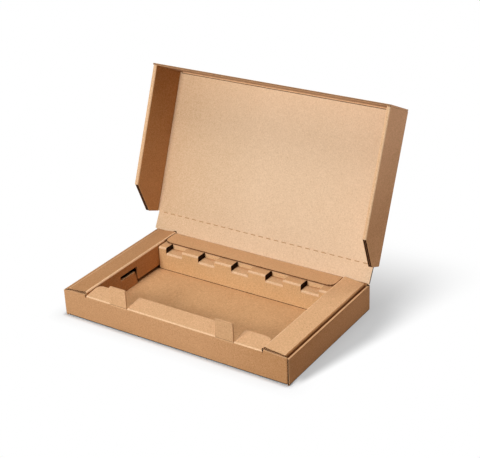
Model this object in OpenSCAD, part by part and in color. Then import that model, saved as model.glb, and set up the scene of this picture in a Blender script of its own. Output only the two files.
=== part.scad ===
// Corrugated mailer box: a shallow tray with a hinged tray-shaped lid and a folded inner frame
// that carries a notched ledge at the back and a hollow rim on either side.
// Origin: middle of the tray's underside. X runs along the front, Y to the back, Z up.

/* [Board] */
// Thickness of the single wall board
board = 1.7; // [1.2:0.1:2.4]
// Clearance where one sheet only stands beside or on another
seat = 0.2; // [0.1:0.05:0.4]
// Clearance between the panels that meet at a hinge crease
crease_gap = 0.2; // [0.1:0.05:0.4]

/* [Tray] */
// Outer length of the tray along its front
tray_l = 240; // [200:1:320]
// Outer depth of the tray from front to back
tray_w = 142; // [125:1:200]
// Height of the front and side walls
wall_h = 26; // [22:0.5:40]
// Height of the back wall, up to the hinge crease
back_h = 27.4; // [24:0.2:42]
// Length of the corner flaps that reinforce the side walls
corner_flap = 26; // [15:1:35]
// Distance of the corner flaps' upper edge below the top of the walls
corner_drop = 5; // [1:0.5:10]

/* [Front flap] */
// Depth of the front flap from its crease
flap_d = 17.6; // [12:0.2:24]
// Angle by which the front flap springs up
flap_tilt = 8; // [0:1:20]
// Radius of the flap corners
flap_r = 6; // [2:0.5:9]
// Height of the two tabs that stand in line with the front wall
tab_h = 17.8; // [10:0.2:19]
// Width of each tab
tab_w = 18; // [10:0.5:30]
// Distance of each tab's middle from the middle of the tray
tab_x = 56.6; // [45:0.2:70]
// Radius of the tab's top corners
tab_r = 1.6; // [0.5:0.1:4]

/* [Inner frame] */
// Width of the hollow rim along each side
rim_w = 22; // [16:0.5:30]
// Height of the rim at its outer edge
rim_h = 27.6; // [24:0.2:42]
// Rise of the rim from its outer edge to its inner edge
rim_rise = 2.4; // [0:0.2:4]
// Height of the slot left under the rim's inner wall
rim_lift = 3.8; // [1:0.2:6]
// Depth of the ledge from the back wall
ledge_d = 30; // [26:0.5:45]
// Height of the ledge's upper face above the ground
ledge_h = 27; // [22:0.5:40]
// Number of notches along the ledge
notch_n = 5; // [2:1:6]
// Width of each notch
notch_w = 19; // [10:0.5:22]
// Distance from one notch to the next
notch_pitch = 37.8; // [28:0.2:45]
// Depth of each notch from the ledge's front face
notch_d = 12; // [8:0.5:14]
// Height by which each notch steps down from the top of the ledge
notch_drop = 5.6; // [4:0.2:10]
// Depth of the flap that is folded back over the ledge
back_flap = 18; // [10:0.5:20]

/* [Rim window] */
// Width of the window in each rim's inner wall
window_w = 25; // [15:0.5:40]
// Distance of the window's middle from the middle of the tray, towards the front
window_y = 8; // [0:0.5:20]
// Height of the window's upper edge above the ground
window_h = 21.4; // [15:0.2:24]
// Height of the lock tab that stands in the window
lock_h = 17; // [10:0.2:22]
// Slope of the lock tab's rear side, as the width lost at its top
lock_taper = 3.6; // [0:0.2:6]

/* [Lid] */
// Height of the hinge panel between the tray and the lid
spine_h = 17.2; // [12:0.2:30]
// Depth of the lid's walls from the inner face of its panel
lid_d = 41; // [30:0.5:43]
// Clearance between the lid's side walls and the tray
lid_clear = 1.5; // [0.5:0.1:2.5]
// Clearance between the lid's front wall and the tray
front_clear = 0.4; // [0.4:0.1:3]
// Outward lean of the lid's side walls
lid_flare = 1.5; // [0:0.5:5]
// Outward lean of the lid's front wall
front_flare = 3; // [0:0.5:6]
// Gap between the two layers of a rolled side wall
roll_gap = 0.4; // [0.1:0.1:1.7]
// Depth of the side walls at the hinge end
heel_d = 15; // [8:0.5:24]
// Length of the slanted cut at the hinge end
heel_l = 26; // [10:0.5:40]
// Size of the scored bead inside the front fold
bead = 1.2; // [0.8:0.1:1.2]
// Distance of the bead's ends from the side walls
bead_end = 3; // [1:0.5:6]

/* [Perforated crease] */
// Length of each cut along the lid's crease
cut_l = 5; // [3:0.5:8]
// Distance from one cut to the next
cut_pitch = 8.6; // [7:0.2:14]
// Height of each cut
cut_h = 0.7; // [0.4:0.1:1.2]

/* [Pose] */
// Angle by which the hinge panel leans back from upright
spine_lean = 29; // [0:1:100]
// Angle by which the lid leans back from upright
lid_lean = 22; // [0:0.2:100]

/* [Hidden] */
$fn = 48;
// Angle by which the slice of a fold reaches into the panel beside it
bite = 360 / $fn;
kraft_out = [0.72, 0.54, 0.38];
kraft_in = [0.78, 0.61, 0.45];
kraft_lid = [0.86, 0.71, 0.56];

half_l = tray_l / 2;
half_w = tray_w / 2;
corner_x = half_l - board - seat / 2;
corner_h = wall_h - corner_drop;
corner_z = board + seat;
floor_z = 2 * board;
frame_x = corner_x - board - seat;
frame_y = half_w - board - seat;
rim_x = frame_x - rim_w;
rim_z = rim_h + rim_rise;
rim_foot = floor_z + rim_lift;
ear_z = rim_z - board;
ear_x = rim_x + board / 2;
flap_x = rim_x - 2 * seat;
ledge_x = rim_x - 3 * seat;
ledge_y = half_w - board - ledge_d;
step_z = ledge_h - notch_drop;
step_y = ledge_y + notch_d;
back_flap_z = ledge_h + seat;
window_y0 = -window_y - window_w / 2;
window_y1 = -window_y + window_w / 2;
lock_y0 = window_y0 + seat;
lock_y1 = window_y1 - seat;
roll_w = 2 * board + roll_gap;
lid_x = half_l + lid_clear;
lid_edge = lid_x + roll_w;
lid_p = tray_w - board + front_clear;
cut_n = floor((tray_l - cut_l) / cut_pitch);
cut_span = cut_pitch * (cut_n - 1);
eps = 0.01;

// Square with its lower left corner at the given point
module box2(x0, y0, x1, y1) {
    translate([x0, y0])
        square([x1 - x0, y1 - y0]);
}

// Slice of a disc between two angles, which rounds the outside of a fold
module fold2(at, r, a0, a1) {
    mid = (a0 + a1) / 2;
    far = 2 * r;
    translate(at)
        intersection() {
            circle(r = r);
            polygon([
                [0, 0],
                [far * cos(a0), far * sin(a0)],
                [far * cos(mid), far * sin(mid)],
                [far * cos(a1), far * sin(a1)]
            ]);
        }
}

// Board that runs from one point to another, with its thickness to the left of that line
module run2(from, to) {
    d = to - from;
    translate(from)
        rotate(atan2(d[1], d[0]))
            square([norm(d), board]);
}

// Profile drawn in depth and height, made as long as the span along X
module along_x(x0, x1) {
    translate([x0, 0, 0])
        rotate([90, 0, 90])
            linear_extrude(x1 - x0)
                children();
}

// Profile drawn in width and height, made as long as the span along Y
module along_y(y0, y1) {
    translate([0, y1, 0])
        rotate([90, 0, 0])
            linear_extrude(y1 - y0)
                children();
}

// Rectangle with its two upper corners rounded
module tab2(x0, x1, z0, z1, r) {
    box2(x0, z0, x1, z1 - r);
    box2(x0 + r, z0, x1 - r, z1);
    translate([x0 + r, z1 - r])
        circle(r = r);
    translate([x1 - r, z1 - r])
        circle(r = r);
}

// End of the front wall that rises under the rim
module ear2() {
    low = wall_h - board;
    polygon([
        [ear_x, low - eps],
        [corner_x - board, low - eps],
        [corner_x - board, wall_h],
        [ear_x, ear_z - seat - board / 2]
    ]);
}

// Face of the front wall, with its ears and its two tabs
module front_face2() {
    box2(-(corner_x - board), board, corner_x - board, wall_h - board);
    for (side = [-1, 1]) {
        scale([side, 1])
            ear2();
        tab2(side * tab_x - tab_w / 2, side * tab_x + tab_w / 2, wall_h - 2 * board, wall_h + tab_h, tab_r);
    }
}

// Waste outside a rounded corner, to the right of a sheet or to its left
module corner_waste2(x, y, r, side) {
    difference() {
        box2(x - r, y - r, x + r, y + r);
        translate([x - side * r, y - r])
            circle(r = r);
    }
}

// One length of the front flap, folded over from the front wall
module flap_part(x0, x1, r0, r1) {
    fold_y = -half_w + board;
    fold_z = wall_h - board;
    difference() {
        along_x(x0, x1) {
            fold2([fold_y, fold_z], board, 90, 180);
            translate([fold_y, fold_z])
                rotate(flap_tilt)
                    square([flap_d, board]);
        }
        translate([0, fold_y, fold_z])
            rotate([flap_tilt, 0, 0])
                translate([0, 0, -board])
                    linear_extrude(3 * board) {
                        if (r0 > 0)
                            corner_waste2(x0, flap_d, r0, -1);
                        if (r1 > 0)
                            corner_waste2(x1, flap_d, r1, 1);
                    }
    }
}

// Corner flap: the end of a front or back wall, folded in beside the side wall
module corner_part(h) {
    y0 = -half_w + board;
    translate([0, 0, corner_z])
        linear_extrude(h - corner_z)
            fold2([corner_x - board, y0], board, 270 - bite, 360);
    translate([corner_x - board, y0 - eps, corner_z])
        cube([board, corner_flap, corner_h - corner_z]);
}

// Side wall with its rounded bottom fold
module side_wall() {
    translate([half_l - board, -half_w, board])
        cube([board, tray_w, wall_h - board]);
    along_y(-half_w, half_w)
        fold2([half_l - board, board], board, 270, 360);
}

// Tray: bottom, four walls, corner flaps, front flap and tabs, folded from one sheet
module tray() {
    slot = tab_w / 2 + seat;
    color(kraft_out) {
        translate([-(half_l - board), -(half_w - board), 0])
            cube([2 * (half_l - board), 2 * (half_w - board), board]);
        for (side = [0, 1]) {
            mirror([side, 0, 0]) {
                side_wall();
                corner_part(wall_h);
                mirror([0, 1, 0])
                    corner_part(back_h - crease_gap);
            }
        }
        along_y(-half_w, -half_w + board)
            front_face2();
        along_x(-(corner_x - board), corner_x - board)
            fold2([-half_w + board, board], board, 180, 270 + bite);
        flap_part(-flap_x, -tab_x - slot, flap_r, 0);
        flap_part(-tab_x + slot, tab_x - slot, 0, 0);
        flap_part(tab_x + slot, flap_x, 0, flap_r);
        along_y(half_w - board, half_w)
            box2(-(corner_x - board), board, corner_x - board, back_h - crease_gap);
        along_x(-(corner_x - board), corner_x - board)
            fold2([half_w - board, board], board, 270 - bite, 360);
    }
}

// Section of one rim: leg, sloping top and inner wall, seen from the front
module rim2() {
    inner_leg = frame_x - board;
    inner_wall = rim_x + board;
    slope = atan2(rim_rise, rim_w);
    top_out = [inner_leg, rim_h - board];
    top_in = [inner_wall, rim_h - board + (inner_leg - inner_wall) * tan(slope)];
    box2(inner_leg, floor_z, frame_x, top_out[1]);
    run2(top_in, top_out);
    fold2(top_out, board, 0, 90);
    fold2(top_in, board, 90 - 2 * slope, 180);
    box2(rim_x, rim_foot, inner_wall, top_in[1]);
}

// Floor of the inner frame under a rim, with the fold that turns up into the leg
module rim_floor2() {
    box2(rim_x - eps, board, frame_x - board, floor_z);
    fold2([frame_x - board, floor_z], board, 270 - bite, 360);
}

// Tab that is turned up out of the floor into the rim's window
module lock_tab() {
    along_x(rim_x, rim_x + board)
        polygon([
            [lock_y0, floor_z - eps],
            [lock_y1, floor_z - eps],
            [lock_y1 - lock_taper, lock_h],
            [lock_y0, lock_h]
        ]);
    along_y(lock_y0, lock_y1)
        fold2([rim_x, floor_z], board, 270, 360);
}

// Rim with its window, and the strip of floor below it
module rim() {
    difference() {
        along_y(-frame_y, frame_y)
            rim2();
        translate([rim_x - board, window_y0, 0])
            cube([3 * board, window_w, window_h]);
    }
    difference() {
        along_y(-frame_y, ledge_y)
            rim_floor2();
        translate([rim_x, window_y0, 0])
            cube([lock_h - floor_z + board, window_w, rim_foot]);
    }
    lock_tab();
}

// Section of the ledge where its top is whole
module ledge_ridge2() {
    inner_y = ledge_y + board;
    inner_z = ledge_h - board;
    box2(ledge_y, step_z - 2 * board, inner_y, inner_z);
    fold2([inner_y, inner_z], board, 90, 180);
    box2(inner_y, inner_z, step_y + 2 * board, ledge_h);
}

// Section of the ledge where a notch is pushed in: a step and the upright face behind it
module ledge_notch2() {
    inner_y = ledge_y + board;
    fold2([inner_y, step_z - board], board, 90, 180);
    box2(inner_y, step_z - board, step_y, step_z);
    fold2([step_y, step_z], board, 270, 360);
    box2(step_y, step_z, step_y + board, ledge_h - board);
    fold2([step_y + board, ledge_h - board], board, 90, 180);
}

// Section that both kinds of length share: the ledge's foot and its rear half
module ledge_common2() {
    end_y = frame_y - board;
    fold2([ledge_y, floor_z], board, 270, 360);
    box2(ledge_y, floor_z, ledge_y + board, step_z - board);
    box2(step_y + board, ledge_h - board, end_y, ledge_h);
}

// Fold that turns the end of the ledge's top back over itself
module ledge_hem2() {
    end_y = frame_y - board;
    translate([end_y, ledge_h + seat / 2])
        difference() {
            circle(r = board + seat / 2);
            circle(r = seat / 2);
            translate([-3 * board, -3 * board])
                square([3 * board, 6 * board]);
        }
}

// Flap that lies on the ledge, with its front corners rounded
module back_flap2() {
    y1 = frame_y - board;
    y0 = y1 - back_flap;
    x0 = ledge_x;
    box2(-x0, y0 + flap_r, x0, y1);
    box2(-x0 + flap_r, y0, x0 - flap_r, y1);
    for (side = [-1, 1])
        translate([side * (x0 - flap_r), y0 + flap_r])
            circle(r = flap_r);
}

// Ledge with its row of notches
module ledge() {
    first = -notch_pitch * (notch_n - 1) / 2;
    starts = [for (i = [0 : notch_n - 1]) first + i * notch_pitch - notch_w / 2];
    ridge_from = concat([-ledge_x], [for (s = starts) s + notch_w]);
    ridge_to = concat(starts, [ledge_x]);
    along_x(-ledge_x, ledge_x) {
        ledge_common2();
        ledge_hem2();
    }
    for (i = [0 : notch_n])
        along_x(ridge_from[i], ridge_to[i])
            ledge_ridge2();
    for (s = starts)
        along_x(s, s + notch_w)
            ledge_notch2();
    translate([0, 0, back_flap_z])
        linear_extrude(board)
            back_flap2();
}

// Inner frame: floor, two hollow rims and the notched ledge, folded from one sheet
module inner_frame() {
    color(kraft_in) {
        translate([-rim_x, -frame_y, board])
            cube([2 * rim_x, ledge_y + frame_y, board]);
        for (side = [0, 1])
            mirror([side, 0, 0])
                rim();
        ledge();
    }
}

// Row of cuts along the upper edge of the hinge panel
module crease_cuts() {
    for (i = [0 : cut_n - 1])
        translate([-cut_span / 2 + i * cut_pitch - cut_l / 2, -2 * board, spine_h - crease_gap - cut_h])
            cube([cut_l, 3 * board, 2 * cut_h]);
}

// Hinge panel between the tray's back wall and the lid
module hinge_panel() {
    color(kraft_lid)
        translate([0, half_w, back_h])
            rotate([-spine_lean, 0, 0])
                difference() {
                    translate([-half_l, -board, 0])
                        cube([tray_l, board, spine_h - crease_gap]);
                    crease_cuts();
                }
}

// Outline of one layer of a side wall, seen from the side with the lid upright
module lid_side2() {
    roll_y = lid_d - roll_w / 2;
    polygon([
        [0, crease_gap],
        [-heel_d, crease_gap],
        [-roll_y, heel_l],
        [-roll_y, lid_p - seat + roll_y * tan(front_flare)],
        [0, lid_p - seat]
    ]);
}

// Rolled side wall: outer layer, half-round fold and inner layer
module lid_side() {
    outer = lid_edge - board;
    roll_y = lid_d - roll_w / 2;
    translate([outer, 0, 0])
        rotate([0, 0, lid_flare])
            translate([-outer, 0, 0]) {
                along_x(outer, lid_edge)
                    lid_side2();
                along_x(lid_x, lid_x + board)
                    intersection() {
                        lid_side2();
                        box2(-lid_d, 0, -seat, 2 * lid_p);
                    }
                translate([lid_x + roll_w / 2, -roll_y, heel_l])
                    linear_extrude(lid_p - seat + roll_y * tan(front_flare) - heel_l)
                        difference() {
                            circle(r = roll_w / 2);
                            circle(r = roll_gap / 2);
                            translate([-roll_w, 0])
                                square([2 * roll_w, roll_w]);
                        }
            }
    translate([outer, 0, crease_gap])
        linear_extrude(lid_p - seat - crease_gap)
            fold2([0, 0], board, 0, 90);
}

// Front wall of the lid, wide enough to cover the ends of the side walls
module lid_front() {
    spread = lid_d * tan(lid_flare);
    edge = lid_edge - board;
    translate([0, 0, lid_p])
        rotate([-front_flare, 0, 0])
            linear_extrude(board)
                polygon([
                    [-edge, 0],
                    [-edge, -seat],
                    [-lid_edge, -seat],
                    [-lid_edge - spread, -lid_d],
                    [lid_edge + spread, -lid_d],
                    [lid_edge, -seat],
                    [edge, -seat],
                    [edge, 0]
                ]);
    along_x(-edge, edge)
        fold2([0, lid_p], board, 0, 90);
}

// Scored bead in the corner between the lid's panel and its front wall
module lid_bead() {
    along_x(-lid_x + bead_end, lid_x - bead_end)
        polygon([
            [eps, lid_p - bead],
            [-bead, lid_p + bead * tan(front_flare) + eps],
            [eps, lid_p + eps]
        ]);
}

// Lid: panel, two rolled side walls and the front wall, folded from one sheet
module lid() {
    edge = lid_edge - board;
    hinge_y = half_w + spine_h * sin(spine_lean) - board * cos(spine_lean);
    hinge_up = back_h + spine_h * cos(spine_lean) + board * sin(spine_lean);
    color(kraft_lid)
        translate([0, hinge_y, hinge_up])
            rotate([-lid_lean, 0, 0]) {
                translate([-edge, 0, crease_gap])
                    cube([2 * edge, board, lid_p - crease_gap]);
                for (side = [0, 1])
                    mirror([side, 0, 0])
                        lid_side();
                lid_front();
                lid_bead();
            }
}

tray();
inner_frame();
hinge_panel();
lid();
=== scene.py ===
import math

import bpy
from mathutils import Matrix, Vector


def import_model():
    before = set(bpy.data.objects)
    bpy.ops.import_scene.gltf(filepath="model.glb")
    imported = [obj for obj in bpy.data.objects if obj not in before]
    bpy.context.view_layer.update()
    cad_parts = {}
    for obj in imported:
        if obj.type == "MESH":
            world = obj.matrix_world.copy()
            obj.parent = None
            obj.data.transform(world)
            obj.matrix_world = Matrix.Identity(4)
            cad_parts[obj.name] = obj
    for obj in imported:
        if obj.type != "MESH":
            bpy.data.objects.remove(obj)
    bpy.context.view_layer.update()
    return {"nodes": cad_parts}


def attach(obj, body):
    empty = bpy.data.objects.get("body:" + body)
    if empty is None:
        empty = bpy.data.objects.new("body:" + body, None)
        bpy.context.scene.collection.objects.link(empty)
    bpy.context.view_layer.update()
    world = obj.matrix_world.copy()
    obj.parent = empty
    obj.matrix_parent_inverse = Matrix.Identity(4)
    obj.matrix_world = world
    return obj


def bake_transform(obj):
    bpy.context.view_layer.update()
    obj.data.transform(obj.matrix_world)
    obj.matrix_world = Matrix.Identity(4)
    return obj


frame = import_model()
nodes = frame["nodes"]

# Driving sizes of the part, in millimetres and degrees, under the names that the part's source gives them
BOARD = 1.7
SEAT = 0.2
TRAY_L = 240.0
TRAY_W = 142.0
WALL_H = 26.0
BACK_H = 27.4
FLAP_D = 17.6
FLAP_R = 6.0
FLAP_TILT = 8.0
TAB_X = 56.6
TAB_W = 18.0
RIM_W = 22.0
RIM_H = 27.6
RIM_RISE = 2.4
LEDGE_D = 30.0
LEDGE_H = 27.0
NOTCH_N = 5
NOTCH_W = 19.0
NOTCH_PITCH = 37.8
NOTCH_D = 12.0
NOTCH_DROP = 5.6
BACK_FLAP = 18.0
SPINE_H = 17.2
SPINE_LEAN = 29.0
LID_D = 41.0
LID_LEAN = 22.0
LID_CLEAR = 1.5
LID_FLARE = 1.5
FRONT_CLEAR = 0.4
FRONT_FLARE = 3.0
ROLL_GAP = 0.4
HEEL_D = 15.0
HEEL_L = 26.0
BEAD = 1.2
CUT_L = 5.0
CUT_PITCH = 8.6

# Places that follow from them: the faces of the tray's walls, the inner frame and the lid
HALF_L = TRAY_L / 2
HALF_W = TRAY_W / 2
IN_X = HALF_L - BOARD
IN_Y = HALF_W - BOARD
FLOOR_Z = 2 * BOARD
FRAME_X = IN_X - BOARD - 1.5 * SEAT
FRAME_Y = IN_Y - SEAT
RIM_X = FRAME_X - RIM_W
RIM_SLOPE = math.atan2(RIM_RISE, RIM_W)
FLAP_X = RIM_X - 2 * SEAT
FLAP_END = FLAP_D - IN_Y
LEDGE_X = RIM_X - 3 * SEAT
LEDGE_Y = IN_Y - LEDGE_D
STEP_Y = LEDGE_Y + NOTCH_D
STEP_Z = LEDGE_H - NOTCH_DROP
BACK_FLAP_Y = FRAME_Y - BOARD - BACK_FLAP
BACK_FLAP_Z = LEDGE_H + SEAT
LID_X = HALF_L + LID_CLEAR
LID_EDGE = LID_X + 2 * BOARD + ROLL_GAP
LID_P = TRAY_W - BOARD + FRONT_CLEAR

MM = 0.001
X, Y, Z = range(3)
AXES = ((1, 0, 0), (0, 1, 0), (0, 0, 1))
WHITE = (1.0, 1.0, 1.0, 1.0)


def turn_x(degrees):
    """A turn about the X axis."""
    return Matrix.Rotation(math.radians(degrees), 3, "X")


PANEL_AT = Vector((0.0, HALF_W, BACK_H))
PANEL_TURN = turn_x(-SPINE_LEAN)
LID_AT = PANEL_AT + PANEL_TURN @ Vector((0.0, -BOARD, SPINE_H))
LID_TURN = turn_x(-LID_LEAN)


def on_panel(x, y, z):
    """A point given in the hinge panel's own axes, in millimetres, as it stands at rest."""
    return PANEL_AT + PANEL_TURN @ Vector((x, y, z))


def on_lid(x, y, z):
    """A point given in the lid's own axes, in millimetres, as it stands at rest."""
    return LID_AT + LID_TURN @ Vector((x, y, z))


def linear(r, g, b):
    """A colour written in display values, as the shader wants it."""
    out = []
    for v in (r, g, b):
        v /= 255
        out.append(v / 12.92 if v <= 0.04045 else ((v + 0.055) / 1.055) ** 2.4)
    return (*out, 1.0)


class Nodes:
    """A node tree that is built node by node."""

    def __init__(self, tree):
        self.tree = tree
        tree.nodes.clear()

    def node(self, kind, inputs=(), **settings):
        """A new node, whose inputs are plain values or the outputs of other nodes."""
        node = self.tree.nodes.new("ShaderNode" + kind)
        for key, value in settings.items():
            setattr(node, key, value)
        for key, value in dict(inputs).items():
            if isinstance(value, bpy.types.NodeSocket):
                self.tree.links.new(value, node.inputs[key])
            else:
                node.inputs[key].default_value = value
        return node

    def add(self, kind, inputs=(), out=0, **settings):
        """One output of a new node."""
        return self.node(kind, inputs, **settings).outputs[out]

    def math(self, operation, *values):
        """The result of a Math node."""
        return self.add("Math", dict(enumerate(values)), operation=operation)

    def vector(self, operation, inputs, out=0):
        """The result of a Vector Math node."""
        return self.add("VectorMath", inputs, out, operation=operation)

    def axes(self, vector):
        """The three coordinates of a vector."""
        return tuple(self.node("SeparateXYZ", {0: vector}).outputs)

    def total(self, *parts):
        """The sum of each value times its weight."""
        result = 0.0
        for value, weight in parts:
            result = self.math("MULTIPLY_ADD", value, weight, result)
        return result

    def ramp(self, value, start, end, low=0.0, high=1.0, smooth=False):
        """A number that goes from low to high while the value goes from start to end."""
        kind = "SMOOTHSTEP" if smooth else "LINEAR"
        inputs = {0: value, 1: start, 2: end, 3: low, 4: high}
        return self.add("MapRange", inputs, interpolation_type=kind)

    def noise(self, coords, scale, detail=2.0, roughness=0.55, distortion=0.0):
        """Noise that runs from about -1 to 1."""
        inputs = {
            "Vector": coords,
            "Scale": scale,
            "Detail": detail,
            "Roughness": roughness,
            "Distortion": distortion,
        }
        return self.ramp(self.add("TexNoise", inputs), 0.28, 0.72, -1.0, 1.0)


def new_material(name):
    """A material and its empty node tree."""
    material = bpy.data.materials.new(name)
    material.use_nodes = True
    return material, Nodes(material.node_tree)


# Distance from one flute of the board to the next, in millimetres
PITCH = 2.9
# How much of the light and dark goes into red, green and blue
SHADE_TINT = (0.76, 1.0, 1.42)
# Tone of a dark speck, as a share of the board's own
SPECK_TONE = (0.80, 0.74, 0.66)


def flute_lines(s, coords, normal, lean):
    """Faint lines of the flutes under the liner of a board that leans back by some degrees."""
    turned = s.add("Mapping", {"Vector": coords, "Rotation": (math.radians(lean), 0.0, 0.0)})
    across, depth, height = s.axes(turned)
    sideways = s.math("GREATER_THAN", s.math("ABSOLUTE", s.axes(normal)[X]), 0.75)
    run = s.add("Mix", {0: sideways, 2: across, 3: depth if lean else height}, data_type="FLOAT")
    return s.math("SINE", s.math("MULTIPLY", run, 2 * math.pi / (PITCH * MM)))


def specks(s, coords, strength):
    """Strength of the few dark specks in the paper."""
    cell = s.node("TexVoronoi", {"Vector": coords, "Scale": 430}).outputs
    near = s.ramp(cell["Distance"], 0.05, 0.26, 1.0, 0.0)
    few = s.math("GREATER_THAN", s.add("SeparateColor", {0: cell["Color"]}), 0.80)
    return s.math("MULTIPLY", s.math("MULTIPLY", near, few), strength)


def kraft(name, tone, lean=0.0, grain=1.6, wash=0.004, fade=None):
    """Brown kraft liner: cloudy tone, short fibres, dark specks and the faint lines of the flutes under it.

    A fade is painted light and shade: it has an axis, the two places in metres between which it runs, and
    the light added at each.
    """
    material, s = new_material(name)
    place = s.node("TexCoord").outputs
    coords = place["Object"]
    cloud = s.noise(coords, 34, 3)
    patch = s.noise(coords, 150, 2)
    grit = s.noise(coords, 760, 2, 0.65)
    fine = s.noise(coords, 1500, 1)
    long = s.add("Mapping", {"Vector": coords, "Scale": (420.0, 2400.0, 2400.0)})
    fibre = s.noise(long, 1.0, 2, 0.5, 0.6)
    cross = s.add("Mapping", {"Vector": coords, "Scale": (2300.0, 520.0, 520.0)})
    cross_fibre = s.noise(cross, 1.0, 1, 0.5, 0.8)
    flutes = flute_lines(s, coords, place["Normal"], lean)
    light = s.total(
        (cloud, 0.012 * grain),
        (patch, 0.012 * grain),
        (grit, 0.095 * grain),
        (fine, 0.060 * grain),
        (fibre, 0.030 * grain),
        (cross_fibre, 0.022 * grain),
        (flutes, wash),
    )
    # The fade adds painted light and shade to the tone along one axis
    if fade:
        axis, *ends = fade
        light = s.math("ADD", light, s.ramp(s.axes(coords)[axis], *ends))
    base = linear(*tone)
    deep = linear(*(v * share for v, share in zip(tone, SPECK_TONE)))
    speck = specks(s, coords, 0.34 * grain)
    mixed = s.add("Mix", {0: speck, 6: base, 7: deep}, out=2, data_type="RGBA")
    tint = s.vector("SCALE", {0: SHADE_TINT, 3: light})
    tint = s.vector("ADD", {0: tint, 1: (1.0, 1.0, 1.0)})
    colour = s.vector("MULTIPLY", {0: mixed, 1: tint})
    rise = s.total((fibre, 0.5), (grit, 0.35), (cross_fibre, 0.4), (flutes, 0.2))
    bump = s.add("Bump", {"Height": rise, "Strength": 0.28, "Distance": 0.00012})
    rough = s.math("MULTIPLY_ADD", patch, 0.05, 0.84)
    shader = s.add(
        "BsdfPrincipled",
        {"Base Color": colour, "Roughness": rough, "Specular IOR Level": 0.22, "Normal": bump},
    )
    s.node("OutputMaterial", {"Surface": shader})
    material.diffuse_color = base
    return material


def plain_card(name, tone, spread=0.10):
    """Raw cut board, the inside of a flute, and flat cards of painted shade, each with an uneven tone."""
    material, s = new_material(name)
    coords = s.node("TexCoord").outputs["Object"]
    light = s.math("MULTIPLY_ADD", s.noise(coords, 900, 2), spread, 1.0)
    light = s.math("MULTIPLY_ADD", s.noise(coords, 140, 2), spread * 0.6, light)
    colour = s.vector("SCALE", {0: linear(*tone)[:3], 3: light})
    shader = s.add("BsdfPrincipled", {"Base Color": colour, "Roughness": 0.9, "Specular IOR Level": 0.1})
    s.node("OutputMaterial", {"Surface": shader})
    material.diffuse_color = linear(*tone)
    return material


# Liners of the tray
# Painted shade: the tray's liner darkens towards its right end
tray_kraft = kraft("tray_kraft", (196, 149, 106), fade=(X, 0.03, 0.12, 0.0, -0.22))
# Painted shade towards the front and painted light towards the back of the tray's left and right outer walls
tray_side_kraft = kraft("tray_side_kraft", (190, 136, 91), fade=(Y, -0.06, 0.06, -0.18, 0.05))
# Painted light: the front flap and the left tab get a lighter tone than the front wall
flap_kraft = kraft("flap_kraft", (214, 169, 126))
# Painted shade: the right tab's front is darker than the left one
tab_painted_shade = kraft("tab_painted_shade", (203, 160, 118))
# Folds are lighter where the liner is stretched; this tone is also painted highlight, given only to folds
# that face up and to the lid's bead
fold_stretch_and_highlight = kraft("fold_stretch_and_highlight", (234, 194, 153), grain=1.4, wash=0.0)

# Liners of the inner frame
frame_kraft = kraft("frame_kraft", (211, 165, 118))
# Painted shade: the inner walls darken towards the front
inner_kraft = kraft("inner_kraft", (193, 139, 91), fade=(Y, -0.04, 0.03, -0.2, 0.0))
# Painted shade: the ledge's front darkens towards its left end
ledge_kraft = kraft("ledge_kraft", (226, 184, 134), fade=(X, -0.09, -0.02, -0.09, 0.0))
# Painted light: a lighter tone for the uprights at the back of the notches, which the flap above shades
notch_painted_light = kraft("notch_painted_light", (238, 198, 150))
# The right rim's lighter tone is painted light and the left rim's darker one painted shade; the left one
# also darkens towards the front
rim_kraft = kraft("rim_kraft", (219, 173, 128))
rim_left_painted_shade = kraft("rim_left_painted_shade", (193, 144, 100), fade=(Y, -0.06, 0.04, -0.08, 0.02))
flap_kraft_back = kraft("flap_kraft_back", (209, 162, 117))

# Liners of the hinge panel and the lid
# Painted shade: the hinge panel and the lid's inner face darken towards the left wall
panel_kraft = kraft(
    "panel_kraft", (235, 202, 167), lean=SPINE_LEAN, grain=1.1, fade=(X, -0.11, -0.01, -0.10, 0.005)
)
lid_kraft = kraft(
    "lid_kraft", (233, 202, 168), lean=LID_LEAN, grain=1.1, fade=(X, -0.11, -0.01, -0.14, 0.02)
)
# Painted shade on the inner face of the lid's front wall
shade_kraft = kraft("shade_kraft", (187, 151, 120), lean=LID_LEAN, grain=1.1)
cover_kraft = kraft("cover_kraft", (200, 153, 110), lean=LID_LEAN)
# Painted shade: the lid's left wall darkens inside towards its top
wall_kraft = kraft("wall_kraft", (200, 150, 104), lean=LID_LEAN, fade=(Z, 0.07, 0.17, 0.0, -0.36))
# Painted light: a lighter tone for the lid's right outer face, with painted shade low down and painted light
# towards the top
side_kraft = kraft("side_kraft", (220, 166, 123), lean=LID_LEAN, fade=(Z, 0.085, 0.165, -0.16, 0.20))

# Cut edges, and cards of painted shade for gaps, hollows, creases, grooves and the tray's bottom edge
cut_card = plain_card("cut_card", (204, 160, 118))
lip_card = plain_card("lip_card", (196, 150, 108))
flute_card = plain_card("flute_card", (166, 126, 90))
back_card = plain_card("back_card", (196, 151, 110))
# Painted shade at the foot of the tabs
dim_painted_shade = plain_card("dim_painted_shade", (112, 80, 54), 0.15)
# Near black: painted shade in open flutes, hollows and gaps
void_painted_shade = plain_card("void_painted_shade", (46, 29, 17), 0.2)
# Painted shade along the tray's rounded bottom edge where it meets the floor
edge_card = plain_card("edge_card", (58, 45, 36), 0.15)
side_card = plain_card("side_card", (96, 72, 52), 0.15)
rim_edge_card = plain_card("rim_edge_card", (140, 106, 78), 0.2)
# Painted shade for creases, slits and holes
crease_painted_shade = plain_card("crease_painted_shade", (88, 54, 30), 0.2)
# Painted shade in the groove beside the right rim
groove_shade_card = plain_card("groove_shade_card", (168, 100, 50), 0.15)

# Distance within which a face counts as lying on a plane, in millimetres
NEAR = 0.1
# Share of its length that a normal has along an axis when the face looks that way
ALONG = 0.98
# Angle above which an edge between two faces stays sharp
SHARP = 28


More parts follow.
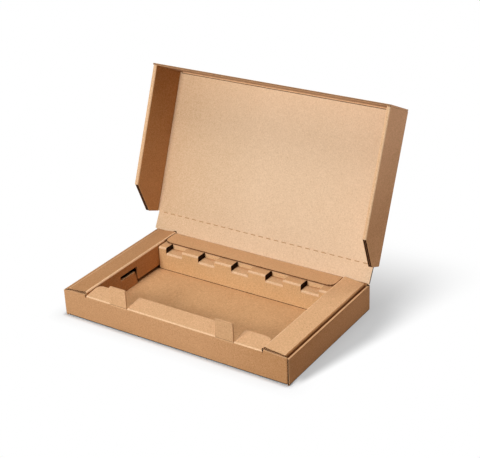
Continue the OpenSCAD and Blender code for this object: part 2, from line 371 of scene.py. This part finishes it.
def dress(node, choose):
    """Gives each face of a node the material that choose(normal, centre in millimetres) returns."""
    mesh = node.data
    mesh.materials.clear()
    used = []
    for face in mesh.polygons:
        material = choose(face.normal, face.center / MM)
        if material not in used:
            used.append(material)
            mesh.materials.append(material)
        face.material_index = used.index(material)
        face.use_smooth = True
    mesh.set_sharp_from_angle(angle=math.radians(SHARP))


def flat(n, *directions):
    """True where a face looks along one of these directions or against it."""
    return any(abs(n.dot(Vector(d).normalized())) > 0.9976 for d in directions)


def tilted(degrees):
    """The Y and Z axes after a turn about X."""
    a = math.radians(degrees)
    return (0, math.cos(a), math.sin(a)), (0, -math.sin(a), math.cos(a))


FLAP_OUT, FLAP_UP = tilted(FLAP_TILT)
RIM_UPS = [(side * math.sin(RIM_SLOPE), 0, math.cos(RIM_SLOPE)) for side in (-1, 1)]
LID_FRONT_AXES = tilted(-FRONT_FLARE)


def tray_face(n, c):
    """The material of one face of the tray."""
    in_wall = abs(c.x) > IN_X
    on_front = c.y < -IN_Y
    above = c.z > WALL_H + SEAT
    at_flap = c.y < FLAP_END + FLAP_R + 1
    wall_end = in_wall and abs(abs(c.y) - HALF_W) < NEAR and c.z > BOARD
    wall_top = in_wall and abs(c.z - WALL_H) < NEAR
    flap_edge = c.z > WALL_H - 0.5 and c.y > FLAP_END - FLAP_R - 1 and n.dot(Vector(FLAP_OUT)) > 0.3
    tab_edge = on_front and c.z > WALL_H + 0.5 and abs(c.x) < TAB_X + TAB_W and abs(n.y) < 0.9
    ear_top = on_front and WALL_H < c.z < RIM_H and 0.9 < n.z < 0.9995 and abs(c.x) > FLAP_X
    # Painted shade: near black on the right wall's front end and the front flap's cut edges
    if (wall_end and c.x > 0 > c.y) or (at_flap and flap_edge):
        return void_painted_shade
    if tab_edge or ear_top or wall_top or (wall_end and c.y > 0):
        return cut_card
    if wall_end:
        return tray_kraft
    # Painted shade on the bottom edge where the tray meets the floor
    if c.z < BOARD - NEAR and -0.99 < n.z < -0.1:
        return edge_card
    # Only folds that face up get the lighter fold tone: painted highlight
    if not flat(n, *AXES, FLAP_UP, FLAP_OUT):
        return fold_stretch_and_highlight if n.z > 0.5 else tray_kraft
    # The outer walls' tone carries painted shade at the front and painted light at the back
    if abs(n.x) > ALONG and abs(c.x) > HALF_L - NEAR:
        return tray_side_kraft
    # Painted shade on the right tab's front
    if n.y < -ALONG and above and abs(c.x - TAB_X) < TAB_W / 2 + 0.5:
        return tab_painted_shade
    # The lighter flap tone above the wall is painted light
    return flap_kraft if above and at_flap else tray_kraft


def frame_hollow(n, c, out):
    """True for the inner faces of the hollow ledge and rims, where out is how far a face looks outward."""
    if abs(c.x) < RIM_X - NEAR:
        in_ledge = LEDGE_Y + SEAT < c.y < FRAME_Y - NEAR and c.z < LEDGE_H + NEAR
        return in_ledge and (n.z < -0.9 or n.y > 0.9)
    in_rim = RIM_X + 1.2 < abs(c.x) < FRAME_X + 0.3 and c.z < RIM_H
    in_inner_wall = abs(c.x) < RIM_X + 3 * BOARD
    return in_rim and (n.z < -0.9 or out < -0.9 or (out > 0.9 and in_inner_wall))


def frame_face(n, c):
    """The material of one face of the inner frame."""
    out = n.x if c.x > 0 else -n.x
    upward = n.z > ALONG
    forward = n.y < -ALONG
    between_rims = abs(c.x) < RIM_X - NEAR
    in_inner_wall = abs(c.x) < RIM_X + BOARD + 1
    in_outer_wall = abs(c.x) > FRAME_X - 2 * BOARD
    at_ledge = c.y > LEDGE_Y - 1
    in_flap = LEDGE_H + 0.3 < c.z < BACK_FLAP_Z + BOARD
    flap_edge = in_flap and BACK_FLAP_Y - 0.5 < c.y < BACK_FLAP_Y + FLAP_R + 1
    # Painted shade: near black on the ends of the rims and outer walls
    if abs(n.y) > ALONG and abs(abs(c.y) - FRAME_Y) < NEAR and not between_rims:
        return void_painted_shade
    # Painted shade on the back flap's cut front edge
    if flap_edge and abs(n.z) < 0.1:
        return crease_painted_shade
    if in_flap and abs(n.x) > 0.99 and abs(c.x) < FLAP_X + NEAR:
        return cut_card
    # Painted shade: near black inside the hollow ledge and rims
    if frame_hollow(n, c, out):
        return void_painted_shade
    # Folds get the fold tone with its painted highlight, except the right rim's outer folds, which get the
    # inner walls' darker tone as painted shade
    if not flat(n, *AXES, *RIM_UPS):
        return inner_kraft if in_outer_wall and c.x > 0 and out > 0.3 else fold_stretch_and_highlight
    # Painted light on the right rim's top, painted shade on the left one's
    if upward and c.z > LEDGE_H - 1:
        if between_rims:
            return flap_kraft_back
        return rim_kraft if c.x > 0 else rim_left_painted_shade
    # Painted light in the notches: the lighter upright tone, and the right rim's tone on their floors
    if between_rims and at_ledge and c.z > STEP_Z - 1:
        if forward and abs(c.y - STEP_Y) < 5:
            return notch_painted_light
        if upward:
            return rim_kraft
    if forward and at_ledge:
        return ledge_kraft
    if (in_outer_wall and out > ALONG) or (in_inner_wall and abs(n.x) > ALONG):
        return inner_kraft
    return frame_kraft


def lid_face(n, c):
    """The material of one face of the lid, chosen in the lid's own axes."""
    back = LID_TURN.transposed()
    n, c = back @ n, back @ (c - LID_AT)
    inner_x = LID_EDGE - BOARD - NEAR
    on_edge = abs(c.x) > LID_X - 0.5 and c.y < -0.25
    heel = on_edge and c.z < HEEL_L + 1 and (n.z < -0.4 or (n.z > 0.9 and c.y < -1))
    top = on_edge and c.z < LID_P + 1.3 and n.z > 0.9 and abs(c.x) < LID_EDGE - NEAR
    bead = -BEAD - NEAR < c.y < NEAR and c.z > LID_P - BOARD and n.y < -0.3 and n.z < -0.3
    if n.y < -ALONG and c.z > LID_P - 0.7:
        return rim_edge_card
    # Painted shade: near black on the cut ends at the heels and tops of the side walls
    if heel or top:
        return void_painted_shade
    # The bead under the lid's front wall gets the fold tone as painted highlight
    if bead or (abs(n.x) < ALONG and not flat(n, *AXES, *LID_FRONT_AXES)):
        return fold_stretch_and_highlight
    # Painted light on the right wall's outer face, lighter towards the top
    if n.x > ALONG and c.x > inner_x:
        return side_kraft
    # Painted shade towards the top of the left wall's inner face
    if n.x > ALONG and c.x < -IN_X:
        return wall_kraft
    # Painted shade on the inner face of the front wall
    if n.z < -ALONG and c.z > LID_P - BOARD:
        return shade_kraft
    return lid_kraft if n.y < -ALONG and c.y > -NEAR and abs(c.x) < inner_x else cover_kraft


def panel_face(n, c):
    """The material of one face of the hinge panel."""
    if abs(n.x) > ALONG and abs(c.x) > HALF_L - NEAR:
        return side_card
    return panel_kraft if n.dot(PANEL_TURN @ Vector((0, -1, 0))) > 0 else tray_kraft


dress(nodes["tray"], tray_face)
dress(nodes["inner_frame"], frame_face)
dress(nodes["lid"], lid_face)
dress(nodes["hinge_panel"], panel_face)


def new_mesh(name, vertices, faces, materials, slots=()):
    """An object from corners in millimetres, with each face's place in the list of materials."""
    mesh = bpy.data.meshes.new(name)
    mesh.from_pydata([v * MM for v in vertices], [], faces)
    for m in materials:
        mesh.materials.append(m)
    if slots:
        mesh.polygons.foreach_set("material_index", slots)
    mesh.validate()
    obj = bpy.data.objects.new(name, mesh)
    bpy.context.scene.collection.objects.link(obj)
    return obj


# Cut edges in millimetres: thickness of a liner's edge, how far it stands proud and reaches into the board,
# half the thickness of the waved paper, and how far it stays below the liners' edges
LIP = 0.32
STAND = 0.13
SUNK = 0.1
HALF_PAPER = 0.11
WAVE_DROP = 0.03
# How far the wave is ahead in each next run, as an angle
WAVE_SHIFT = 1.3


def resample(run, step):
    """Points, outward normals and thickness directions at even steps along a run, in millimetres."""
    rows = [[Vector(v) for v in row] for row in run]
    lengths = [0.0]
    for a, b in zip(rows, rows[1:]):
        lengths.append(lengths[-1] + (b[0] - a[0]).length)
    count = max(1, round(lengths[-1] / step))
    out = []
    k = 0
    for i in range(count + 1):
        at = lengths[-1] * i / count
        while k < len(rows) - 2 and lengths[k + 1] < at:
            k += 1
        span = lengths[k + 1] - lengths[k]
        t = (at - lengths[k]) / span if span else 0.0
        point, up, wide = (a.lerp(b, t) for a, b in zip(rows[k], rows[k + 1]))
        out.append((at, point, up.normalized(), wide.normalized()))
    return out


def sweep(vertices, faces, slots, rings, slot):
    """A closed tube through rings of four points."""
    start = len(vertices)
    for ring in rings:
        vertices.extend(ring)
    for i in range(len(rings) - 1):
        a, b = start + 4 * i, start + 4 * i + 4
        for j in range(4):
            k = (j + 1) % 4
            faces.append((a + j, a + k, b + k, b + j))
            slots.append(slot)
    last = start + 4 * (len(rings) - 1)
    faces.append((start + 3, start + 2, start + 1, start))
    faces.append((last, last + 1, last + 2, last + 3))
    slots.extend((slot, slot))


def edge_ring(mid, n, half, stand):
    """Four corners of a thin bar on a cut edge, from inside the board to a little above it."""
    low, high = mid - n * SUNK, mid + n * stand
    return low - half, low + half, high + half, high - half


def lip_rings(run, side):
    """The edge of one of the two liners along a cut."""
    rings = []
    for _, p, n, w in resample(run, 3.0):
        rings.append(edge_ring(p + w * side * (BOARD - LIP) / 2, n, w * LIP / 2, STAND))
    return rings


def wave_rings(run, shift):
    """The waved paper between the liners along a cut that crosses the flutes."""
    steps = resample(run, PITCH / 8)
    reach = BOARD / 2 - LIP - 0.02
    rings = []
    for i, (at, p, n, w) in enumerate(steps):
        ahead = steps[min(i + 1, len(steps) - 1)][1] - steps[max(i - 1, 0)][1]
        turn = 2 * math.pi * at / PITCH + shift
        slant = reach * 2 * math.pi / PITCH * math.cos(turn)
        across = (w - ahead.normalized() * slant).normalized()
        rings.append(edge_ring(p + w * reach * math.sin(turn), n, across * HALF_PAPER, STAND - WAVE_DROP))
    return rings


def flute_edges(name, body, runs):
    """The two liners and the waved paper between them, a little proud of each cut.

    A run is a list of points with the directions out of the cut and across the board. With it go the
    sides on which a liner shows, and whether the paper between them does.
    """
    vertices, faces, slots = [], [], []
    for number, (run, lips, wavy) in enumerate(runs):
        for side in lips:
            sweep(vertices, faces, slots, lip_rings(run, side), 0)
        if wavy:
            sweep(vertices, faces, slots, wave_rings(run, number * WAVE_SHIFT), 1)
    obj = new_mesh(name, vertices, faces, [lip_card, flute_card], slots)
    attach(obj, body)
    return obj


def arc(cx, cy, r, a0, a1, count=8):
    """Points on an arc with the outward direction at each."""
    for i in range(count + 1):
        a = math.radians(a0 + (a1 - a0) * i / count)
        yield cx + r * math.cos(a), cy + r * math.sin(a), math.cos(a), math.sin(a)


def tray_runs():
    """The front end of the right wall and the free edges of the front flap, which its tabs part in three."""
    wall = [((HALF_L - BOARD / 2, -HALF_W, z), (0, -1, 0), (1, 0, 0)) for z in (2.0, WALL_H)]
    turn = turn_x(FLAP_TILT)
    base = Vector((0, -IN_Y, WALL_H - BOARD))
    wide = turn @ Vector((0, 0, 1))
    corner = FLAP_X - FLAP_R
    tab_near = TAB_X - TAB_W / 2 - SEAT
    tab_far = TAB_X + TAB_W / 2 + SEAT

    def point(x, v, nx=0, nv=1):
        """A step of a run from a place and a direction in the flap's own plane."""
        return base + turn @ Vector((x, v, BOARD / 2)), turn @ Vector((nx, nv, 0)), wide

    left = [point(*q) for q in arc(-corner, FLAP_D - FLAP_R, FLAP_R, 180, 90)]
    left.append(point(-tab_far, FLAP_D))
    middle = [point(-tab_near, FLAP_D), point(tab_near, FLAP_D)]
    right = [point(tab_far, FLAP_D)]
    right += [point(*q) for q in arc(corner, FLAP_D - FLAP_R, FLAP_R, 90, 0)]
    return [(wall, (1,), True)] + [(run, (-1, 1), True) for run in (left, middle, right)]


def rim_run(side):
    """The middle of the board round the front end of one rim, from its inner wall to its outer one."""
    steps = 4
    start_z = 22.0
    inner, outer = RIM_X + BOARD, FRAME_X - BOARD
    over = 90 - math.degrees(RIM_SLOPE)
    top = RIM_H - BOARD
    crest = top + (outer - inner) * math.tan(RIM_SLOPE)
    folds = [(inner, crest, 180 + (over - 180) * i / steps) for i in range(steps + 1)]
    folds += [(outer, top, over * (1 - i / steps)) for i in range(steps + 1)]
    run = [(Vector((side * (inner - BOARD / 2), -FRAME_Y, start_z)), (0, -1, 0), Vector((-side, 0, 0)))]
    for x, z, angle in folds:
        a = math.radians(angle)
        out = Vector((side * math.cos(a), 0, math.sin(a)))
        run.append((Vector((side * x, -FRAME_Y, z)) + out * BOARD / 2, (0, -1, 0), out))
    run.append((Vector((side * (outer + BOARD / 2), -FRAME_Y, start_z)), (0, -1, 0), Vector((side, 0, 0))))
    return run


def frame_runs():
    """The front ends of both rims and the free edge of the flap on the ledge."""
    corner = LEDGE_X - FLAP_R
    flap = []
    for x, start in ((-corner, 180), (corner, 270)):
        for px, py, nx, ny in arc(x, BACK_FLAP_Y + FLAP_R, FLAP_R, start, start + 90):
            flap.append(((px, py, BACK_FLAP_Z + BOARD / 2), (nx, ny, 0), (0, 0, 1)))
    return [(run, (-1, 1), True) for run in (rim_run(-1), rim_run(1), flap)]


def lid_front_run():
    """The free edge of the lid's front wall."""
    # The side walls lean out, so the front wall is a little longer at this edge
    half = LID_EDGE + 0.9
    a = math.radians(FRONT_FLARE)
    out = LID_TURN @ Vector((0, -math.cos(a), math.sin(a)))
    wide = LID_TURN @ Vector((0, math.sin(a), math.cos(a)))
    y = -LID_D * math.cos(a) + BOARD / 2 * math.sin(a)
    z = LID_P + LID_D * math.sin(a) + BOARD / 2 * math.cos(a)
    return [(on_lid(x, y, z), out, wide) for x in (-half, half)]


def lid_side_runs(side, outer):
    """The cut edges of one layer of a rolled side wall: at the hinge, on the slanted cut and in front."""
    a = math.radians(LID_FLARE)
    pivot = LID_EDGE - BOARD
    shift = BOARD / 2 if outer else LID_X + BOARD / 2 - pivot
    deep = LID_D - BOARD - SEAT
    top = LID_P - SEAT
    slant = Vector((0, SEAT - HEEL_L, HEEL_D - deep)).normalized()

    def at(y, z, ny, nz):
        """A step of a run from a place and a direction in the wall's own plane."""
        x = pivot + shift * math.cos(a) - y * math.sin(a)
        out = LID_TURN @ Vector((-ny * math.sin(a) * side, ny * math.cos(a), nz))
        wide = LID_TURN @ Vector((side * math.cos(a), math.sin(a), 0))
        return on_lid(side * x, shift * math.sin(a) + y * math.cos(a), z), out, wide

    lips = (1,) if outer else (-1,)
    rise = deep * math.tan(math.radians(FRONT_FLARE))
    return [
        ([at(-0.4, SEAT, 0, -1), at(-HEEL_D, SEAT, 0, -1)], lips, not outer),
        ([at(-HEEL_D, SEAT, slant.y, slant.z), at(-deep, HEEL_L, slant.y, slant.z)], lips, False),
        ([at(-1, top, 0, 1), at(-deep, top + rise, 0, 1)], lips, not outer),
    ]


def lid_runs():
    """All the cut edges of the lid's walls."""
    runs = [(lid_front_run(), (-1, 1), True)]
    for side in (-1, 1):
        for outer in (True, False):
            runs += lid_side_runs(side, outer)
    return runs


flute_edges("tray_flutes", "tray", tray_runs())
flute_edges("frame_flutes", "tray", frame_runs())
flute_edges("lid_flutes", "lid", lid_runs())


def plate(k):
    """The six faces of a thin plate with its lower corners from k on and its upper ones from k + 4 on."""
    sides = [(k + j, k + (j + 1) % 4, k + 4 + (j + 1) % 4, k + 4 + j) for j in range(4)]
    return [(k + 4, k + 5, k + 6, k + 7), (k + 3, k + 2, k + 1, k)] + sides


# Skins over the creases in millimetres: their thickness and the longest plate in them
SKIN = 0.07
SKIN_STEP = 12


def crease_skin(name, lines, spans, material):
    """Thin liner that carries on over a crease, through lines given as a point and the way that it faces."""
    vertices, faces = [], []
    for x0, x1 in spans:
        count = max(1, round((x1 - x0) / SKIN_STEP))
        for i in range(count):
            a, b = x0 + (x1 - x0) * i / count, x0 + (x1 - x0) * (i + 1) / count
            for (p, n), (q, m) in zip(lines, lines[1:]):
                faces += plate(len(vertices))
                for lift in (0.0, SKIN):
                    for at, up, x in ((p, n, a), (p, n, b), (q, m, b), (q, m, a)):
                        vertices.append(Vector((x, at.y + up.y * lift, at.z + up.z * lift)))
    obj = new_mesh(name, vertices, faces, [material])
    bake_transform(obj)
    return obj


PANEL_FRONT = PANEL_TURN @ Vector((0, -1, 0))
LID_FRONT = LID_TURN @ Vector((0, -1, 0))

cut_n = int((TRAY_L - CUT_L) // CUT_PITCH)
cuts = [CUT_PITCH * (i - (cut_n - 1) / 2) for i in range(cut_n)]
cut_spans = [(c - CUT_L / 2, c + CUT_L / 2) for c in cuts]
skin_end = HALF_L - 0.1
ends = [-skin_end, *(x for span in cut_spans for x in span), skin_end]
bridges = list(zip(ends[::2], ends[1::2]))

inside = [(on_panel(0, -BOARD, SPINE_H - d), PANEL_FRONT) for d in (1.5, 0.8, 0.2)]
inside += [(on_lid(0, 0, d), LID_FRONT) for d in (0.2, 0.8, 1.5)]
crease_skin(
    "crease_bridge",
    inside,
    bridges,
    panel_kraft,
)
# The backing lies this much behind the board's inner face, so that the cuts show as cuts
behind = 0.04
backing = [(on_panel(0, behind - BOARD, SPINE_H - d), PANEL_FRONT) for d in (1.2, 0.7, 0.25)]
backing += [(on_lid(0, behind, d), LID_FRONT) for d in (0.25, 0.6, 0.95)]
crease_skin(
    "cut_backing",
    backing,
    cut_spans,
    back_card,
)
outside = [(on_panel(0, 0, SPINE_H - d), -PANEL_FRONT) for d in (1.8, 1.0, 0.3)]
outside += [(on_lid(0, BOARD, d), -LID_FRONT) for d in (0.3, 1.0, 1.8)]
crease_skin(
    "crease_skin",
    outside,
    [(-skin_end, skin_end)],
    fold_stretch_and_highlight,
)
hinge = [(Vector((0, HALF_W, BACK_H - d)), Vector((0, 1, 0))) for d in (1.8, 1.0, 0.3)]
hinge += [(on_panel(0, 0, d), -PANEL_FRONT) for d in (0.3, 1.0, 1.8)]
crease_skin(
    "hinge_skin",
    hinge,
    [(-HALF_L + 0.4, HALF_L - 0.4)],
    fold_stretch_and_highlight,
)


# How far a mark stands above the board, in millimetres
MARK_RISE = 0.03


def marks(name, body, quads, material):
    """Thin marks on the board, each four corners in millimetres, raised a little along their normal."""
    vertices, faces = [], []
    for quad in quads:
        a, b, c, d = (Vector(v) for v in quad)
        lift = (b - a).cross(d - a).normalized() * MARK_RISE
        faces += plate(len(vertices))
        vertices += [v + lift * 0.2 for v in (a, b, c, d)] + [v + lift for v in (a, b, c, d)]
    obj = new_mesh(name, vertices, faces, [material])
    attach(obj, body)
    return obj


def facing_front(y, x0, x1, z0, z1):
    """Corners of a mark that looks along -Y."""
    return (x0, y, z0), (x1, y, z0), (x1, y, z1), (x0, y, z1)


def facing_right(x, y0, y1, z0, z1):
    """Corners of a mark that looks along X."""
    return (x, y0, z0), (x, y1, z0), (x, y1, z1), (x, y0, z1)


def facing_up(x0, x1, y0, y1, z0, z1=None):
    """Corners of a level mark, or of one that goes from z0 at x0 to z1 at x1."""
    z1 = z0 if z1 is None else z1
    return (x0, y0, z0), (x1, y0, z1), (x1, y1, z1), (x0, y1, z0)


# The crease at the foot of the ledge, darkened with painted shade, the front wall's liner round the left
# corner, and the left rim's liner over the side wall, in the left rim's darker tone of painted shade
foot_x = LEDGE_X - 0.1
foot = [
    facing_front(LEDGE_Y, -foot_x, foot_x, FLOOR_Z, FLOOR_Z + 0.35),
    facing_up(-foot_x, foot_x, LEDGE_Y - 0.35, LEDGE_Y, FLOOR_Z),
]
marks("ledge_foot_painted_shade", "tray", foot, crease_painted_shade)
corner = facing_front(-HALF_W, -HALF_L, 2 * BOARD + SEAT - HALF_L, BOARD - 0.1, WALL_H)
marks("corner_liner", "tray", [corner], tray_kraft)
over = facing_up(0.1 - HALF_L, 5.5 - HALF_L, -FRAME_Y, FRAME_Y, WALL_H + 0.04, WALL_H + 0.74)
marks("rim_over_wall", "tray", [over], rim_left_painted_shade)

# The lips of the cuts overlap the backing's ends and leave a dark slit between them
lip_half = CUT_L / 2 + 0.1
lower, upper = [], []
for c in cuts:
    low = facing_front(-BOARD - 0.02, c - lip_half, c + lip_half, SPINE_H - 1.3, SPINE_H - 0.48)
    high = facing_front(-0.02, c - lip_half, c + lip_half, 0.4, 1.2)
    lower.append([on_panel(*v) for v in low])
    upper.append([on_lid(*v) for v in high])
marks("lower_cut_lips", "hinge_panel", lower, panel_kraft)
marks("upper_cut_lips", "lid", upper, lid_kraft)

# Painted shade: dark marks where shade falls, in the groove beside the right rim, the slit at the left end
# of the back flap, the hollow behind each notch, the gap at the hinge panel's left foot, and the gaps at the
# corners
groove_y = FRAME_Y - 0.1
groove = facing_right(FRAME_X + 0.01, -groove_y, groove_y, WALL_H - 4, WALL_H - 0.8)
marks("rim_groove_painted_shade", "tray", [groove], groove_shade_card)
flap_top = BACK_FLAP_Z + BOARD
flap_root = FRAME_Y - 0.2
slit = facing_up(-RIM_X - 0.9, -LEDGE_X - 0.05, BACK_FLAP_Y, flap_root, flap_top - 0.12, flap_top - 0.04)
marks("slit_painted_shade", "tray", [slit], crease_painted_shade)
hollows = []
for i in range(NOTCH_N):
    x = NOTCH_PITCH * (i - (NOTCH_N - 1) / 2) - NOTCH_W / 2 + 0.02
    hollows.append(facing_right(x, LEDGE_Y + 0.5, STEP_Y - 0.1, STEP_Z + 0.25, LEDGE_H - 0.05))
marks("notch_hollow_painted_shade", "tray", hollows, void_painted_shade)
gaps = [
    facing_up(0.3 - HALF_L, 5.4 - HALF_L, -FRAME_Y - 0.6, -FRAME_Y - 0.1, WALL_H + 0.03),
    facing_front(-FRAME_Y - 0.06, RIM_X - 1.5, RIM_X + 1.9, WALL_H + 0.2, RIM_H + 0.3),
    facing_front(0.2 - HALF_W, FLAP_X - 0.15, FLAP_X + 1.2, WALL_H + 0.02, WALL_H + 1.2),
    facing_up(FRAME_X + 0.7, HALF_L, FRAME_Y - 0.2, HALF_W - 0.1, WALL_H + 0.06),
]
hole_x = -RIM_X - 4.1
hole = [on_panel(hole_x + x, -BOARD - 0.06, z) for x, z in ((0, 0), (4.6, 0.3), (3.8, 2.0), (1.0, 1.7))]
marks("corner_hole_painted_shade", "hinge_panel", [hole], crease_painted_shade)
marks("corner_gap_painted_shade", "tray", gaps, void_painted_shade)

# Painted shade as dark lines under the lid's bead and at the foot of the tabs
bead_x = HALF_L - 0.4
under = [on_lid(*v) for v in facing_front(0, -bead_x, bead_x, LID_P - 1.75, LID_P - 1.2)]
marks("bead_line_painted_shade", "lid", [under], crease_painted_shade)
tab_half = TAB_W / 2 - 0.1
bases = []
for x in (-TAB_X, TAB_X):
    bases.append(facing_front(-HALF_W, x - tab_half, x + tab_half, WALL_H - 0.15, WALL_H + 0.1))
marks("tab_foot_painted_shade", "tray", bases, dim_painted_shade)


# The painted soft shadow on the floor to the right of the tray, in metres: where it starts under the wall,
# its width at the tray's middle, how much wider it gets with each metre to the back, and its least width
SHADOW_X = 0.1145
SHADOW_WIDTH = 0.0267
SHADOW_SPREAD = 0.235
SHADOW_LEAST = 0.004
# How dark it is, and its share of what the camera sees there
SHADOW_DEPTH = 0.5
SHADOW_SHARE = 0.85


def painted_wall_shadow(s, x, y):
    """How much of the painted soft shadow is at a place of the floor, given in metres.

    It is a wedge that widens towards the back, and it ends softly at its outer side, at the front corner
    and under the tray.
    """
    width = s.math("MULTIPLY_ADD", y, SHADOW_SPREAD, SHADOW_WIDTH)
    edge = s.math("SUBTRACT", s.math("ADD", width, SHADOW_X), x)
    edge = s.math("DIVIDE", edge, s.math("MAXIMUM", width, SHADOW_LEAST))
    softness = s.ramp(y, 0.03, 0.09, 0.36, 0.8)
    wedge = s.ramp(edge, -0.25, softness, smooth=True)
    beside = s.ramp(x, 0.0, 0.1, smooth=True)
    ahead = s.ramp(y, -0.073, -0.052, smooth=True)
    return s.math("MULTIPLY", s.math("MULTIPLY", wedge, beside), ahead)


def floor():
    """A plain white floor that keeps the object's shadow, adds a painted one at the tray's right and reads
    as white further out.
    """
    material, s = new_material("floor_white")
    coords = s.node("TexCoord").outputs["Object"]
    x, y, _ = s.axes(coords)
    past = s.vector("ABSOLUTE", {0: coords})
    past = s.vector("SUBTRACT", {0: past, 1: (HALF_L * MM, HALF_W * MM, 0.0)})
    past = s.vector("MAXIMUM", {0: past, 1: (0.0, 0.0, 0.0)})
    away = s.vector("LENGTH", {0: past}, out=1)

    # The lit floor goes over into paper white away from the tray, and into the painted soft shadow at its
    # right
    wedge = painted_wall_shadow(s, x, y)
    behind = s.ramp(y, 0.05, 0.215, 1.0, 0.0, smooth=True)
    level = s.math("MULTIPLY_ADD", s.math("MULTIPLY", wedge, behind), -SHADOW_DEPTH, 1.0)
    wedge = s.math("MULTIPLY", wedge, s.ramp(y, 0.12, 0.19, 1.0, 0.0))
    share = s.math("ADD", s.ramp(away, 0.0014, 0.0042, 0.0, 0.7), s.ramp(away, 0.0035, 0.018, 0.0, 0.3))
    share = s.math("MULTIPLY", share, s.math("SUBTRACT", 1.0, wedge))
    share = s.math("MULTIPLY_ADD", wedge, SHADOW_SHARE, share)
    near = s.add("BsdfDiffuse", {"Color": (0.87, 0.89, 0.91, 1.0)})
    paper = s.add("Emission", {"Color": WHITE, "Strength": level})
    seen = s.add("MixShader", {0: share, 1: near, 2: paper})

    # The board itself is lit by a plain, slightly warm floor
    bounce = s.add("BsdfDiffuse", {"Color": (0.78, 0.73, 0.67, 1.0)})
    rays = s.node("LightPath").outputs
    direct = s.math("MAXIMUM", rays["Is Camera Ray"], rays["Is Glossy Ray"])
    direct = s.math("MAXIMUM", direct, rays["Is Transmission Ray"])
    s.node("OutputMaterial", {"Surface": s.add("MixShader", {0: direct, 1: bounce, 2: seen})})

    size = 6.0
    corners = [(-size, -size, 0), (size, -size, 0), (size, size, 0), (-size, size, 0)]
    mesh = bpy.data.meshes.new("floor")
    mesh.from_pydata(corners, [], [(0, 1, 2, 3)])
    mesh.materials.append(material)
    obj = bpy.data.objects.new("floor", mesh)
    bpy.context.scene.collection.objects.link(obj)


def world(strength):
    """A white backdrop for the camera, which lights the object only a little."""
    w = bpy.data.worlds.new("studio")
    bpy.context.scene.world = w
    w.use_nodes = True
    s = Nodes(w.node_tree)
    fill = s.add("Background", {"Color": WHITE, "Strength": strength})
    white = s.add("Background", {"Color": WHITE, "Strength": 1.0})
    rays = s.node("LightPath").outputs
    direct = s.math("MAXIMUM", rays["Is Camera Ray"], rays["Is Transmission Ray"])
    s.node("OutputWorld", {"Surface": s.add("MixShader", {0: direct, 1: fill, 2: white})})


# Point that the lamps are turned to, in metres
AIM = Vector((0, 0, 0.04))


def softbox(name, at, size, power):
    """A round lamp at a place in metres."""
    data = bpy.data.lights.new(name, "AREA")
    data.shape = "DISK"
    data.size = size
    data.energy = power
    obj = bpy.data.objects.new(name, data)
    bpy.context.scene.collection.objects.link(obj)
    obj.location = at
    obj.rotation_euler = (AIM - Vector(at)).to_track_quat("-Z", "Y").to_euler()


# The photograph's camera: angles in degrees, the point of the ground that it looks at and its distance from
# it in millimetres, and its focal length in pixels of an image of this width
AZIMUTH, ELEVATION, ROLL = 34.14134, 26.20655, -2.49424
LOOKS_AT = Vector((-75.72403, 155.0397, 0))
DISTANCE = 1233.63596
FOCAL_PIXELS = 1175.89462
IMAGE_WIDTH = 480
SENSOR = 36


def photo_camera():
    """A camera that sees what the photograph's does."""
    azimuth, elevation, roll = (math.radians(v) for v in (AZIMUTH, ELEVATION, ROLL))
    level = math.cos(elevation)
    forward = Vector((-math.sin(azimuth) * level, math.cos(azimuth) * level, -math.sin(elevation)))
    flat_right = Vector((math.cos(azimuth), math.sin(azimuth), 0))
    flat_up = flat_right.cross(forward)
    right = flat_right * math.cos(roll) + flat_up * math.sin(roll)
    up = flat_up * math.cos(roll) - flat_right * math.sin(roll)
    data = bpy.data.cameras.new("camera")
    data.sensor_fit = "HORIZONTAL"
    data.sensor_width = SENSOR
    data.lens = FOCAL_PIXELS / IMAGE_WIDTH * SENSOR
    data.clip_start = 0.05
    obj = bpy.data.objects.new("camera", data)
    bpy.context.scene.collection.objects.link(obj)
    turn = Matrix((right, up, -forward)).transposed()
    obj.matrix_world = Matrix.Translation((LOOKS_AT - forward * DISTANCE) * MM) @ turn.to_4x4()
    return obj


floor()
world(0.01)
softbox("key", (-0.18, -1.67, 0.9), 0.5, 24)
softbox("over", (0.0, 0.0, 1.9), 1.2, 16)
softbox("back", (0.0, 1.2, 1.5), 0.9, 3)
softbox("rear", (0.8, 0.8, 1.5), 0.9, 8.5)
scene = bpy.context.scene
scene.view_settings.view_transform = "Standard"
scene.camera = photo_camera()
